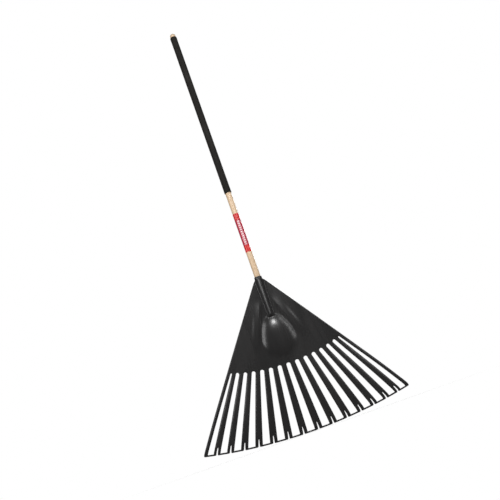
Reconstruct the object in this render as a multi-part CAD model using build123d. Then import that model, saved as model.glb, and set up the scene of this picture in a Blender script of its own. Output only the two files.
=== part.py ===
from build123d import *

import os
from math import asin, atan2, cos, degrees, hypot, radians, sin, sqrt, tan

# A leaf rake held upright, tines down. Everything is built in the socket frame: its origin is
# the middle of the socket's mouth, on the handle's axis, with +Z up the handle, +X across the
# fan and -Y the side that shows when the rake is in use. At the end all pieces move together,
# so that the origin is the middle of the bottom of the whole rake. Sizes are in millimetres.

# ---- driving dimensions: head ----
HEAD_WIDTH = 762.0  # across the outer tines at their tips
HEAD_DROP = 569.0  # from the socket's mouth down to the middle tips
CORNER_RISE = 39.0  # how much higher the outermost tips end than the middle ones
ARCH_DEPTH = 30.0  # how far the outermost tips lie behind the middle ones
FAN_HALF_ANGLE = 35.0  # degrees between the fan's straight side and the handle
SHEET = 3.0  # wall of the moulding
SHEET_START = 6.0  # the fan's sheet begins this far below the mouth
SHEET_SETBACK = 3.0  # the sheet's front lies this far behind the handle's axis

# ---- driving dimensions: windows and tines ----
WINDOWS = 15
WINDOW_TOP = 324.0  # from the mouth down to the top of the middle window
WINDOW_TOP_RADIUS = 760.0  # the window tops lie on this arc
WINDOW_SHARE_TOP = 0.46  # share of the pitch that is window, at the windows' tops
WINDOW_SHARE_TIP = 0.50  # and at the tips
WINDOW_CORNER = 5.0
EDGE_TINE = 12.0  # width of the half tine along each side of the fan
NOTCH_LENGTH = 27.0  # slit at each tip, measured down the front
NOTCH_TOP = 3.5
NOTCH_TIP = 6.5
TIP_BAR = 5.0  # width of the bar that joins two half tips
BEND_RADIUS = 600.0  # long gentle curve of each tine
BEND_ANGLE = 14.0
HOOK_RADIUS = 30.0  # tight curve at the tip
HOOK_ANGLE = 72.0
TIP_STRAIGHT = 8.0  # straight end of the tip past the hook
RIB_WIDTH = 3.0  # stiffening rib down the back of each tine
RIB_HEIGHT = 4.0
RIB_RAMP = 30.0

# ---- driving dimensions: socket ----
SOCKET_LENGTH = 152.0
SOCKET_WALL = 2.5
SOCKET_FLOOR = 7.0  # plastic below the handle's end
MOUTH_FILLET = 0.8
TAPER_CLEARANCE = 0.15  # radial gap between the handle's taper and the socket

# ---- driving dimensions: dome and side swells ----
DOME_MIDDLE = 228.0  # from the mouth down to the dome's widest section
DOME_HALF_LENGTH = 80.0
DOME_HALF_WIDTH = 62.0
DOME_HEIGHT = 14.0  # in front of the sheet
DOME_SINK = 6.0  # the dome's fullest section lies this far behind the sheet's front
SWELL_ANGLE = 23.0
SWELL_MIDDLE = 155.0  # from the mouth along the swell's own line to its middle
SWELL_HALF_LENGTH = 95.0
SWELL_HALF_WIDTH = 18.0
SWELL_HEIGHT = 4.0
SWELL_SINK = 5.0

# ---- driving dimensions: handle, grip and label ----
HANDLE_DIAMETER = 22.2
HANDLE_LENGTH = 1219.0
HANDLE_TAPER_LENGTH = SOCKET_LENGTH - SOCKET_FLOOR
HANDLE_TIP_DIAMETER = 14.6
HANDLE_END_ROUND = 8.0
GRIP_WALL = 2.5
GRIP_CLEARANCE = 0.05
GRIP_BELOW_TOP = 17.0  # bare rounded end of the handle above the grip
GRIP_LENGTH = 715.0
GRIP_ROUND = 2.3
LABEL_ABOVE_MOUTH = 98.0
LABEL_LENGTH = 156.0
LABEL_THICKNESS = 0.25
LABEL_CLEARANCE = 0.02

# ---- driving dimensions: screw ----
SCREW_BELOW_MOUTH = 38.0
SCREW_SHANK_DIAMETER = 4.0
SCREW_LENGTH = 18.0
SCREW_HEAD_DIAMETER = 8.4
SCREW_HEAD_HEIGHT = 2.6
SCREW_SLOT_WIDTH = 1.2
SCREW_SLOT_DEPTH = 1.2
SCREW_HOLE_CLEARANCE = 0.3  # radial, through the socket wall
PILOT_CLEARANCE = 0.05  # radial, in the wood
PILOT_EXTRA_DEPTH = 2.0
BOSS_DIAMETER = 13.0
BOSS_REACH = 15.5  # from the handle's axis to the screw's seat

# ---- worked out from the driving dimensions ----
HALF_WIDTH = HEAD_WIDTH / 2
SIDE_SLOPE = tan(radians(FAN_HALF_ANGLE))
# the fan's sides, carried on upwards, meet on the handle's axis at this height
APEX = HALF_WIDTH / SIDE_SLOPE - (HEAD_DROP - CORNER_RISE)
PITCH_SLOPE = SIDE_SLOPE / (WINDOWS / 2)
SHEET_BACK = SHEET_SETBACK + SHEET
MOUTH_RADIUS = HANDLE_DIAMETER / 2 + TAPER_CLEARANCE + SOCKET_WALL
BORE_END_RADIUS = HANDLE_TIP_DIAMETER / 2 + TAPER_CLEARANCE
TUBE_END_RADIUS = BORE_END_RADIUS + SOCKET_WALL
FAR = 200.0  # reach of cutting tools in front of and behind the head

# The tips lie on one circle in a tilted plane. The whole sheet is turned about that circle's
# axis, which is what arches the head and lifts its outer tips at the same time.
TIP_CHORD_DEPTH = hypot(ARCH_DEPTH, CORNER_RISE)
TIP_CIRCLE = (HALF_WIDTH**2 + TIP_CHORD_DEPTH**2) / (2 * TIP_CHORD_DEPTH)
TIP_TILT = atan2(CORNER_RISE, ARCH_DEPTH)
TURN_HALF_ANGLE = degrees(asin(HALF_WIDTH / TIP_CIRCLE)) + 1.0

# lengths along the middle of the sheet's front, from the mouth to the tip
HOOK_TURN = radians(HOOK_ANGLE - BEND_ANGLE)
BEND_RUN = BEND_RADIUS * radians(BEND_ANGLE)
HOOK_RUN = HOOK_RADIUS * HOOK_TURN
BEND_DROP = BEND_RADIUS * sin(radians(BEND_ANGLE))
HOOK_DROP = HOOK_RADIUS * (sin(radians(HOOK_ANGLE)) - sin(radians(BEND_ANGLE)))
STRAIGHT_RUN = HEAD_DROP - BEND_DROP - HOOK_DROP - TIP_STRAIGHT * cos(radians(HOOK_ANGLE))
SHEET_RUN = STRAIGHT_RUN + BEND_RUN + HOOK_RUN + TIP_STRAIGHT


def sheet_point(run, depth):
    """Point (y, z) in the rake's middle plane, run along the sheet's front and depth behind it."""
    first_y = SHEET_SETBACK + BEND_RADIUS
    hook_y = first_y - (BEND_RADIUS - HOOK_RADIUS) * cos(radians(BEND_ANGLE))
    hook_z = -STRAIGHT_RUN - (BEND_RADIUS - HOOK_RADIUS) * sin(radians(BEND_ANGLE))
    if run <= STRAIGHT_RUN:
        return (SHEET_SETBACK + depth, -run)
    if run <= STRAIGHT_RUN + BEND_RUN:
        turn = (run - STRAIGHT_RUN) / BEND_RADIUS
        radius = BEND_RADIUS - depth
        return (first_y - radius * cos(turn), -STRAIGHT_RUN - radius * sin(turn))
    if run <= STRAIGHT_RUN + BEND_RUN + HOOK_RUN:
        turn = radians(BEND_ANGLE) + (run - STRAIGHT_RUN - BEND_RUN) / HOOK_RADIUS
        radius = HOOK_RADIUS - depth
        return (hook_y - radius * cos(turn), hook_z - radius * sin(turn))
    turn = radians(HOOK_ANGLE)
    past = run - STRAIGHT_RUN - BEND_RUN - HOOK_RUN
    y = hook_y - (HOOK_RADIUS - depth) * cos(turn) + past * sin(turn)
    z = hook_z - (HOOK_RADIUS - depth) * sin(turn) - past * cos(turn)
    return (y, z)


def in_middle_plane(point):
    """A (y, z) pair as a point in space."""
    return Vector(0, point[0], point[1])


def sheet_path(start, end, depth):
    """Edges that follow the sheet between two runs, depth behind its front."""
    stops = [STRAIGHT_RUN, STRAIGHT_RUN + BEND_RUN, STRAIGHT_RUN + BEND_RUN + HOOK_RUN]
    runs = [start] + [stop for stop in stops if start < stop < end] + [end]
    edges = []
    for a, b in zip(runs, runs[1:]):
        ends = [in_middle_plane(sheet_point(run, depth)) for run in (a, (a + b) / 2, b)]
        curved = stops[0] < (a + b) / 2 < stops[2]
        if curved:
            edges.append(Edge.make_three_point_arc(*ends))
        else:
            edges.append(Edge.make_line(ends[0], ends[2]))
    return edges


def sheet_strip(start, end, front, back):
    """Face in the middle plane between two runs along the sheet and two depths."""
    near = sheet_path(start, end, front)
    far = sheet_path(start, end, back)
    caps = [
        Edge.make_line(near[0] @ 0, far[0] @ 0),
        Edge.make_line(near[-1] @ 1, far[-1] @ 1),
    ]
    return Face(Wire(near + far + caps))


def turned(face):
    """Solid swept by turning a face of the middle plane about the tip circle's axis."""
    tip = in_middle_plane(sheet_point(SHEET_RUN, 0))
    centre = tip + Vector(0, cos(TIP_TILT), sin(TIP_TILT)) * TIP_CIRCLE
    axis = Axis(centre, Vector(0, -sin(TIP_TILT), cos(TIP_TILT)))
    return revolve(face.rotate(axis, -TURN_HALF_ANGLE), axis, 2 * TURN_HALF_ANGLE)


def front_prism(points, rounded=0, radius=0.0):
    """Prism along Y from (x, z) corners of the front view, its first corners rounded."""
    outline = make_face(Polyline(*[(x, z) for x, z in points], close=True))
    if rounded:
        firsts = [Vector(x, z, 0) for x, z in points[:rounded]]
        corners = [v for v in outline.vertices() if min((v.center() - f).length for f in firsts) < 1e-3]
        outline = fillet(corners, radius)
    return extrude(Plane.XZ * outline, FAR, both=True)


def tip_height(slope):
    """Height of the sheet's front edge where a line of the fan with this slope meets it."""
    tip = sheet_point(SHEET_RUN, 0)[1]
    height = tip
    for _ in range(6):
        x = slope * (APEX - height)
        height = tip + (TIP_CIRCLE - sqrt(TIP_CIRCLE**2 - x**2)) * sin(TIP_TILT)
    return height


BOTTOM = -HEAD_DROP - 40.0  # below every tip


def fan_outline():
    """Everything between the fan's two straight sides, below the start of the sheet."""
    top = SIDE_SLOPE * (APEX + SHEET_START)
    low = SIDE_SLOPE * (APEX - BOTTOM)
    return front_prism([(-top, -SHEET_START), (top, -SHEET_START), (low, BOTTOM), (-low, BOTTOM)])


def slot_prism(slope, top, side_x, radius=0.0):
    """Prism along Y that runs down the fan, its top end square to its own middle line."""
    half = (side_x(1, top) - side_x(-1, top)) / 2
    heights = [top - slope * half, top + slope * half]
    upper = [(side_x(side, height), height) for side, height in zip((-1, 1), heights)]
    lower = [(side_x(1, BOTTOM), BOTTOM), (side_x(-1, BOTTOM), BOTTOM)]
    return front_prism(upper + lower, 2 if radius else 0, radius)


def window_tool(index):
    """Prism of one window, open at the bottom, numbered outwards from the middle."""
    slope = PITCH_SLOPE * index
    reach = slope * (APEX + WINDOW_TOP)
    top = -WINDOW_TOP + reach**2 / (2 * WINDOW_TOP_RADIUS)

    def side_x(side, height):
        below = APEX - height
        if index == side * (WINDOWS // 2):
            return side * (SIDE_SLOPE * below - EDGE_TINE / cos(radians(FAN_HALF_ANGLE)))
        down = (top - height) / (top + HEAD_DROP)
        share = WINDOW_SHARE_TOP + (WINDOW_SHARE_TIP - WINDOW_SHARE_TOP) * down
        return (slope + side * PITCH_SLOPE * share / 2) * below

    width = side_x(1, top) - side_x(-1, top)
    return slot_prism(slope, top, side_x, min(WINDOW_CORNER, 0.4 * width))


def tine_slopes():
    """Slope of each full tine's middle line, x per distance below the fan's apex."""
    return [PITCH_SLOPE * (n - (WINDOWS - 2) / 2) for n in range(WINDOWS - 1)]


def notch_tool(slope):
    """Slit up the middle of one tine from its tip, a little wider at the tip."""
    tip = tip_height(slope)
    top = tip + NOTCH_LENGTH
    across = hypot(1, slope)

    def side_x(side, height):
        width = NOTCH_TOP + (NOTCH_TIP - NOTCH_TOP) * (top - height) / NOTCH_LENGTH
        return slope * (APEX - height) + side * width / 2 * across

    return slot_prism(slope, top, side_x, 0.45 * NOTCH_TOP)


def tine_ribs():
    """One rib down the back of each full tine, fading out above its notch."""
    root = WINDOW_TOP - RIB_RAMP
    end = STRAIGHT_RUN + BEND_RUN
    inner = SHEET - 0.5
    outer = SHEET + RIB_HEIGHT
    skin = sheet_path(root, end, inner)
    crest = sheet_path(root + RIB_RAMP, end - RIB_RAMP, outer)
    ramps = [
        Edge.make_line(skin[0] @ 0, crest[0] @ 0),
        Edge.make_line(crest[-1] @ 1, skin[-1] @ 1),
    ]
    ridge = turned(Face(Wire(skin + crest + ramps)))
    ribs = []
    for slope in tine_slopes():

        def side_x(side, height):
            return slope * (APEX - height) + side * RIB_WIDTH / 2 * hypot(1, slope)

        ribs.append(ridge & slot_prism(slope, -root + RIB_RAMP, side_x))
    return ribs


def blister(half_width, half_length, height, sink, angle, middle):
    """Hollow raised shell of the sheet and the cavity under it, on a line through the mouth."""
    lean = radians(angle)
    place = Pos(middle * sin(lean), SHEET_SETBACK + sink, -middle * cos(lean)) * Rot(0, -angle, 0)
    in_front = Pos(0, SHEET_BACK - FAR / 2, -HEAD_DROP / 2) * Box(HEAD_WIDTH, FAR, HEAD_DROP)
    outer, cavity = [
        place
        * scale(Sphere(1), by=(half_width - wall, height + sink - wall, half_length - wall))
        for wall in (0, SHEET)
    ]
    return (outer - cavity) & in_front, cavity


def blisters():
    """The dome below the socket and the two long swells beside it."""
    dome = (DOME_HALF_WIDTH, DOME_HALF_LENGTH, DOME_HEIGHT, DOME_SINK)
    swell = (SWELL_HALF_WIDTH, SWELL_HALF_LENGTH, SWELL_HEIGHT, SWELL_SINK)
    return [
        blister(*dome, 0, DOME_MIDDLE),
        blister(*swell, SWELL_ANGLE, SWELL_MIDDLE),
        blister(*swell, -SWELL_ANGLE, SWELL_MIDDLE),
    ]


def socket_radius(base, end, depth):
    """Radius of the socket's taper at a depth below the mouth."""
    return base + (end - base) * depth / HANDLE_TAPER_LENGTH


def socket_tube():
    """Outside of the tapered socket with its blunt closed end."""
    straight_end = SOCKET_LENGTH - TUBE_END_RADIUS
    radius = socket_radius(MOUTH_RADIUS, TUBE_END_RADIUS, straight_end)
    turn = cos(radians(45))
    edges = [
        Edge.make_line((0, 0, 0), (MOUTH_RADIUS, 0, 0)),
        Edge.make_line((MOUTH_RADIUS, 0, 0), (radius, 0, -straight_end)),
        Edge.make_three_point_arc(
            (radius, 0, -straight_end),
            (radius * turn, 0, -straight_end - TUBE_END_RADIUS * turn),
            (0, 0, -SOCKET_LENGTH),
        ),
        Edge.make_line((0, 0, -SOCKET_LENGTH), (0, 0, 0)),
    ]
    tube = revolve(Face(Wire(edges)), Axis.Z, 360)
    rim = tube.edges().group_by(Axis.Z)[-1]
    return fillet(rim, MOUTH_FILLET)


def along_y(radius, start, end, below):
    """Cylinder along Y between two depths, at a height below the mouth."""
    middle = Pos(0, (start + end) / 2, -below)
    return middle * Rot(90, 0, 0) * Cylinder(radius, end - start)


def rake_head():
    """The whole moulding."""
    sheet = turned(sheet_strip(SHEET_START / 2, SHEET_RUN, 0, SHEET)) & fan_outline()
    bars = turned(sheet_strip(SHEET_RUN - TIP_BAR, SHEET_RUN + TIP_BAR, -SHEET, 2 * SHEET))
    middle = WINDOWS // 2
    windows = [window_tool(index) - bars for index in range(-middle, middle + 1)]
    notches = [notch_tool(slope) for slope in tine_slopes()]
    raised = blisters()
    sheet = sheet - (windows + notches + [cavity for _, cavity in raised])
    boss = along_y(BOSS_DIAMETER / 2, SHEET_SETBACK, BOSS_REACH, SCREW_BELOW_MOUTH)
    sheet = sheet + (tine_ribs() + [shell for shell, _ in raised] + [socket_tube(), boss])
    bore = Pos(0, 0, -HANDLE_TAPER_LENGTH / 2) * Cone(
        BORE_END_RADIUS, HANDLE_DIAMETER / 2 + TAPER_CLEARANCE, HANDLE_TAPER_LENGTH
    )
    hole = along_y(SCREW_SHANK_DIAMETER / 2 + SCREW_HOLE_CLEARANCE, 0, BOSS_REACH, SCREW_BELOW_MOUTH)
    return sheet - [bore, hole]


def handle():
    """Turned dowel, rounded at the top and tapered where it goes into the socket."""
    top = HANDLE_LENGTH - HANDLE_TAPER_LENGTH
    dowel = Pos(0, 0, top / 2) * Cylinder(HANDLE_DIAMETER / 2, top)
    dowel = fillet(dowel.edges().group_by(Axis.Z)[-1], HANDLE_END_ROUND)
    taper = Pos(0, 0, -HANDLE_TAPER_LENGTH / 2) * Cone(
        HANDLE_TIP_DIAMETER / 2, HANDLE_DIAMETER / 2, HANDLE_TAPER_LENGTH
    )
    pilot_end = BOSS_REACH - SCREW_LENGTH - PILOT_EXTRA_DEPTH
    pilot = along_y(
        SCREW_SHANK_DIAMETER / 2 + PILOT_CLEARANCE, pilot_end, BOSS_REACH, SCREW_BELOW_MOUTH
    )
    return dowel + taper - pilot


def sleeve(bore_radius, wall, bottom, length):
    """Straight tube round the handle."""
    outside = Cylinder(bore_radius + wall, length)
    inside = Cylinder(bore_radius, length)
    return Pos(0, 0, bottom + length / 2) * (outside - inside)


def cushion_grip():
    """Long cushion sleeve with softly rounded ends."""
    bore_radius = HANDLE_DIAMETER / 2 + GRIP_CLEARANCE
    bottom = HANDLE_LENGTH - HANDLE_TAPER_LENGTH - GRIP_BELOW_TOP - GRIP_LENGTH
    tube = sleeve(bore_radius, GRIP_WALL, bottom, GRIP_LENGTH)
    rims = [e for e in tube.edges().filter_by(GeomType.CIRCLE) if e.radius > bore_radius + GRIP_WALL / 2]
    return fillet(rims, GRIP_ROUND)


def handle_label():
    """Band wrapped round the bare wood."""
    bore_radius = HANDLE_DIAMETER / 2 + LABEL_CLEARANCE
    return sleeve(bore_radius, LABEL_THICKNESS, LABEL_ABOVE_MOUTH, LABEL_LENGTH)


def head_screw():
    """Pan-head screw, its head seated on the boss behind the socket."""
    shank = along_y(
        SCREW_SHANK_DIAMETER / 2, BOSS_REACH - SCREW_LENGTH, BOSS_REACH, SCREW_BELOW_MOUTH
    )
    top = BOSS_REACH + SCREW_HEAD_HEIGHT
    head = along_y(SCREW_HEAD_DIAMETER / 2, BOSS_REACH, top, SCREW_BELOW_MOUTH)
    head = fillet(head.edges().group_by(Axis.Y)[-1], SCREW_HEAD_HEIGHT / 2)
    slot = Pos(0, top, -SCREW_BELOW_MOUTH) * Box(
        SCREW_HEAD_DIAMETER, 2 * SCREW_SLOT_DEPTH, SCREW_SLOT_WIDTH
    )
    return head + shank - slot


def main():
    pieces = {
        "rake_head": rake_head(),
        "handle": handle(),
        "cushion_grip": cushion_grip(),
        "handle_label": handle_label(),
        "head_screw": head_screw(),
    }
    box = Compound(children=[Part(piece.wrapped) for piece in pieces.values()]).bounding_box()
    place = Pos(-(box.min.X + box.max.X) / 2, -(box.min.Y + box.max.Y) / 2, -box.min.Z)
    os.makedirs("parts", exist_ok=True)
    for name, piece in pieces.items():
        export_step(place * piece, f"parts/{name}.step")
    print("the socket mouth stands at", place.position)


main()
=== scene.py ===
# %% [markdown]
# # A poly leaf rake
#
# The rake is five pieces: one black polypropylene head with its tines, a turned hardwood
# handle, a long cushion grip, a red printed band round the handle and one screw behind the
# socket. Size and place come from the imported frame. This script gives each piece its finished
# mesh and its finish, all in metres, with +Z up the handle and -Y the side that shows.

# %% Load the frame
import math

import bmesh
import bpy
from mathutils import Matrix, Quaternion, Vector


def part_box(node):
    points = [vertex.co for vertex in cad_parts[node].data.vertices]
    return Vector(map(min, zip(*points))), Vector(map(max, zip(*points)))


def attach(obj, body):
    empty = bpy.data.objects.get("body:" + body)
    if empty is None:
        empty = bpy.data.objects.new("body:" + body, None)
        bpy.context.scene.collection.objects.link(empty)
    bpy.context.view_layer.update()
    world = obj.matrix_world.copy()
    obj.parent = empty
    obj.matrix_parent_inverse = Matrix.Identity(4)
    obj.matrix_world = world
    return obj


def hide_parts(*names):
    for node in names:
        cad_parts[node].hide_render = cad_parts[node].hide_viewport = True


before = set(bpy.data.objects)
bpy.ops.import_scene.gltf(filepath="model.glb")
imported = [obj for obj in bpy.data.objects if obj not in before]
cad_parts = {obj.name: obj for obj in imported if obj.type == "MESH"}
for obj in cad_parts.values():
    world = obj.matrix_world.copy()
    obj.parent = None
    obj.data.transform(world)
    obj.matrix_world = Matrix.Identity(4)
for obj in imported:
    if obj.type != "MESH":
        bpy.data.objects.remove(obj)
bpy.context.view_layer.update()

print("the frame holds", sorted(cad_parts))

# %% [markdown]
# ## Where things are
#
# Three places in the frame carry the whole layout: the handle's axis, the mouth of the socket,
# which is the top of the head, and the rake's top end. Everything on the head is measured down
# from the mouth, as its moulder would draw it.

# %% Reference places
HEAD_LOW, HEAD_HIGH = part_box("rake_head")
HANDLE_LOW, HANDLE_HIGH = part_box("handle")
GRIP_LOW, GRIP_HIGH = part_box("cushion_grip")
LABEL_LOW, LABEL_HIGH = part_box("handle_label")
SCREW_LOW, SCREW_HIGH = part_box("head_screw")
AXIS_Y = (HANDLE_LOW.y + HANDLE_HIGH.y) / 2
MOUTH_Z = HEAD_HIGH.z
TOP_Z = HANDLE_HIGH.z
HANDLE_RADIUS = (HANDLE_HIGH.x - HANDLE_LOW.x) / 2
print(f"mouth {MOUTH_Z:.3f} m up, top {TOP_Z:.3f} m, handle radius {HANDLE_RADIUS * 1000:.1f} mm")

# %% [markdown]
# ## Camera
#
# A product shot of a long tool is taken from far enough away to show all of it, and the camera
# is rolled so that the tool leans across a square frame. The camera stands just above the floor
# and looks up, which is why the grip looks thinner at its far end.

# %% Camera
CAMERA_DISTANCE = 2.40
CAMERA_RISE = math.radians(-16.25)
CAMERA_TURN = math.radians(-3.0)
CAMERA_ROLL = math.radians(-19.5)
CAMERA_LENS = 47.3
AIM = Vector((0.0063, AXIS_Y, MOUTH_Z + 0.1051))

camera = bpy.data.objects.new("camera", bpy.data.cameras.new("camera"))
bpy.context.scene.collection.objects.link(camera)
bpy.context.scene.camera = camera
level_back = Vector((0, -math.cos(CAMERA_RISE), math.sin(CAMERA_RISE)))
back = Matrix.Rotation(CAMERA_TURN, 3, "Z") @ level_back
camera.rotation_mode = "QUATERNION"
camera.location = AIM + back * CAMERA_DISTANCE
level = (-back).to_track_quat("-Z", "Y")
camera.rotation_quaternion = level @ Quaternion((0, 0, 1), CAMERA_ROLL)
camera.data.lens = CAMERA_LENS
camera.data.clip_start = 0.05
print("camera at", [round(v, 3) for v in camera.location])

# %% [markdown]
# ## Shader maths
#
# A finish is a small graph of nodes. Two helpers keep it readable: `Signal` wraps one output
# socket, so that Python's operators add the Math nodes, and `Finish` holds one material, with a
# single method that adds any other node. Colours only ever meet in a Mix node.


# %% Signal: a socket with operators
class Signal:
    """One output socket of a finish."""

    def __init__(self, finish, socket):
        self.finish = finish
        self.socket = socket

    def maths(self, operation, first, second):
        return self.finish.node("ShaderNodeMath", {"operation": operation}, {0: first, 1: second})

    def __add__(self, other):
        return self.maths("ADD", self, other)

    __radd__ = __add__

    def __mul__(self, other):
        return self.maths("MULTIPLY", self, other)

    def __sub__(self, other):
        return self.maths("SUBTRACT", self, other)

    def __rsub__(self, other):
        return self.maths("SUBTRACT", other, self)

    def ramp(self, start, end, low=0.0, high=1.0):
        """Smooth step from low at start to high at end."""
        sockets = {"Value": self, "From Min": start, "From Max": end, "To Min": low, "To Max": high}
        return self.finish.node("ShaderNodeMapRange", {"interpolation_type": "SMOOTHSTEP"}, sockets)


print("Signal adds, multiplies, subtracts and ramps")


# %% Finish: one material
class Finish:
    """A material and the nodes that feed its Principled shader."""

    def __init__(self, name):
        self.material = bpy.data.materials.new(name)
        self.material.use_nodes = True
        self.nodes = self.material.node_tree.nodes
        self.links = self.material.node_tree.links
        self.nodes.clear()
        self.output = self.nodes.new("ShaderNodeOutputMaterial")

    def node(self, kind, settings=None, sockets=None, out=0):
        """Adds a node: its settings first, then its sockets' values or links."""
        node = self.nodes.new(kind)
        for name, value in (settings or {}).items():
            setattr(node, name, value)
        for name, value in (sockets or {}).items():
            if isinstance(value, Signal):
                self.links.new(value.socket, node.inputs[name])
            else:
                node.inputs[name].default_value = value
        return Signal(self, node.outputs[out])

    def place(self, scale=(1, 1, 1), middle=(0, 0, 0)):
        """Object coordinates about a middle point, stretched by a scale."""
        spot = self.node("ShaderNodeTexCoord", out="Object")
        spot = self.node(
            "ShaderNodeVectorMath", {"operation": "SUBTRACT"}, {0: spot, 1: tuple(middle)}
        )
        return self.node("ShaderNodeVectorMath", {"operation": "MULTIPLY"}, {0: spot, 1: scale})

    def along(self, axis, middle=(0, 0, 0)):
        """One coordinate, in metres from the middle point."""
        return self.node("ShaderNodeSeparateXYZ", None, {0: self.place(middle=middle)}, axis)

    def noise(self, where, scale, detail=3.0, roughness=0.5, distortion=0.0):
        sockets = {
            "Vector": where,
            "Scale": scale,
            "Detail": detail,
            "Roughness": roughness,
            "Distortion": distortion,
        }
        return self.node("ShaderNodeTexNoise", None, sockets)

    def mix(self, first, second, share):
        """Colour between two colours."""
        return self.node(
            "ShaderNodeMix", {"data_type": "RGBA"}, {0: share, 6: first, 7: second}, out=2
        )

    def bump(self, height, distance, strength=1.0, under=None):
        sockets = {"Height": height, "Distance": distance, "Strength": strength}
        if under is not None:
            sockets["Normal"] = under
        return self.node("ShaderNodeBump", None, sockets)

    def principled(self, **sockets):
        """The shader itself; socket names are written with underscores."""
        named = {name.replace("_", " "): value for name, value in sockets.items()}
        shader = self.node("ShaderNodeBsdfPrincipled", None, named)
        self.links.new(shader.socket, self.output.inputs["Surface"])
        return self.material


print("shader helpers are ready")

# %% [markdown]
# ## Studio
#
# The floor is a disc, half pale paint that takes a faint shadow and half plain light. Away from
# the rake the light takes over, so that no horizon shows. The surroundings are white to the
# camera but nearly black to the reflections, and the floor is hidden from reflections, because a
# black satin piece in an all-white room turns grey. Two tall strips of light lean in at the
# sides, and their reflections draw the rim of the dome and the ridges of the head. A small lamp
# stands in front, and two wide soft ones hang above and behind.

# %% Floor and surroundings
FLOOR_RADIUS = 6.0
FLOOR_PAINT = (0.90, 0.90, 0.90, 1)
FLOOR_FADE = (0.35, 0.9)  # metres from the middle, from where the light takes over to all light
FLOOR_GLOW = 0.5  # share of plain light in the middle
ROOM_SEEN = (1, 1, 1, 1)
ROOM_REFLECTED = (0.06, 0.06, 0.062, 1)


def floor_finish():
    """Pale matt paint mixed with plain light, and only light far from the rake."""
    finish = Finish("studio_floor")
    radius = finish.node(
        "ShaderNodeVectorMath", {"operation": "LENGTH"}, {0: finish.place()}, out="Value"
    )
    paint = finish.node(
        "ShaderNodeBsdfDiffuse", None, {"Color": FLOOR_PAINT, "Roughness": 0.6}
    )
    glow = finish.node("ShaderNodeEmission", None, {"Color": (1, 1, 1, 1), "Strength": 1.0})
    share = radius.ramp(*FLOOR_FADE, low=FLOOR_GLOW)
    both = finish.node("ShaderNodeMixShader", None, {0: share, 1: paint, 2: glow})
    finish.links.new(both.socket, finish.output.inputs["Surface"])
    return finish.material


def new_object(name, form, finish):
    """A mesh object from a bmesh, at the origin, with one material."""
    mesh = bpy.data.meshes.new(name)
    form.to_mesh(mesh)
    form.free()
    piece = bpy.data.objects.new(name, mesh)
    bpy.context.scene.collection.objects.link(piece)
    mesh.materials.append(finish)
    return piece


disc = bmesh.new()
bmesh.ops.create_circle(disc, cap_ends=True, segments=96, radius=FLOOR_RADIUS)
floor = new_object("studio_floor", disc, floor_finish())
floor.visible_glossy = False

world = bpy.data.worlds.new("studio")
bpy.context.scene.world = world
world.use_nodes = True
tree = world.node_tree
tree.nodes.clear()
rays = tree.nodes.new("ShaderNodeLightPath")
seen = tree.nodes.new("ShaderNodeBackground")
seen.inputs["Color"].default_value = ROOM_SEEN
felt = tree.nodes.new("ShaderNodeBackground")
felt.inputs["Color"].default_value = ROOM_REFLECTED
either = tree.nodes.new("ShaderNodeMixShader")
sky = tree.nodes.new("ShaderNodeOutputWorld")
tree.links.new(rays.outputs["Is Camera Ray"], either.inputs[0])
tree.links.new(felt.outputs[0], either.inputs[1])
tree.links.new(seen.outputs[0], either.inputs[2])
tree.links.new(either.outputs[0], sky.inputs["Surface"])
bpy.context.scene.view_settings.view_transform = "Standard"
print("floor and surroundings set")

# %% Lamps
LAMPS = {
    # name: (place, what it points at, width and height, lean in degrees, watts)
    "lamp_right": ((1.62, -1.32, 1.12), (0, 0, 0.30), (0.22, 2.4), 30, 13),
    "lamp_left": ((-1.60, -1.25, 1.05), (0, 0, 0.35), (0.40, 2.0), -30, 16),
    "lamp_front": ((0.14, -2.50, 2.10), (0, 0, 0.4), (0.09, 0.09), 0, 33),
    "lamp_above": ((0.10, -0.90, 2.90), (0, 0, 0.8), (1.2, 1.2), 0, 10),
    "lamp_behind": ((0.70, 2.40, 2.00), (0, 0, 0.5), (1.4, 1.4), 0, 50),
}

for name, (spot, goal, size, lean, watts) in LAMPS.items():
    lamp = bpy.data.lights.new(name, "AREA")
    lamp.shape = "RECTANGLE"
    lamp.size, lamp.size_y = size
    lamp.energy = watts
    stand = bpy.data.objects.new(name, lamp)
    bpy.context.scene.collection.objects.link(stand)
    stand.location = spot
    towards = Vector(goal) - Vector(spot)
    stand.rotation_mode = "QUATERNION"
    aimed = towards.to_track_quat("-Z", "Y")
    stand.rotation_quaternion = aimed @ Quaternion((0, 0, 1), math.radians(lean))
print(len(LAMPS), "lamps")

# %% [markdown]
# ## Black polypropylene
#
# The head is injection moulded in black polypropylene. Fresh from the mould it has a satin
# skin, with faint flow marks that run out from the socket and a very fine grain. Use scuffs it:
# the tips rub on soil and turn slightly grey. The grain is bump only, and the flow marks change
# roughness more than colour, which is how they show on the real thing.

# %% Plastic finish
PLASTIC_DEEP, PLASTIC_PALE = (0.0165, 0.0160, 0.0160, 1), (0.0225, 0.0218, 0.0216, 1)
PLASTIC_SCUFFED = (0.10, 0.095, 0.09, 1)


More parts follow.
